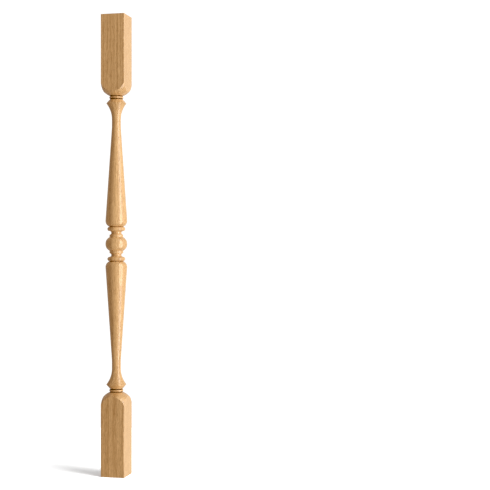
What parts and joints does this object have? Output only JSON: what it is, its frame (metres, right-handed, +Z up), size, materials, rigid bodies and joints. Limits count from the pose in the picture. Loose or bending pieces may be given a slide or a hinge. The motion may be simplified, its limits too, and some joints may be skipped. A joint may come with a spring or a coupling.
{
  "type": "turned wooden baluster",
  "caption": "Slim turned stair baluster with a square block at each end and a ball between mirrored vases, made from one length of oak.",
  "frame": {"origin": "middle of the square foot, on the surface that the baluster stands on", "axes": "+Z up the axis that it was turned about, from foot to head; +X and +Y square to the faces of the blocks"},
  "size_m": [0.05, 0.05, 0.95],
  "materials": {
    "oak": "solid oak with vertical grain and fine pores, sanded smooth and clear varnished to a satin gloss"
  },
  "bodies": {
    "root": {"baluster": "oak"}
  },
  "joints": []
}
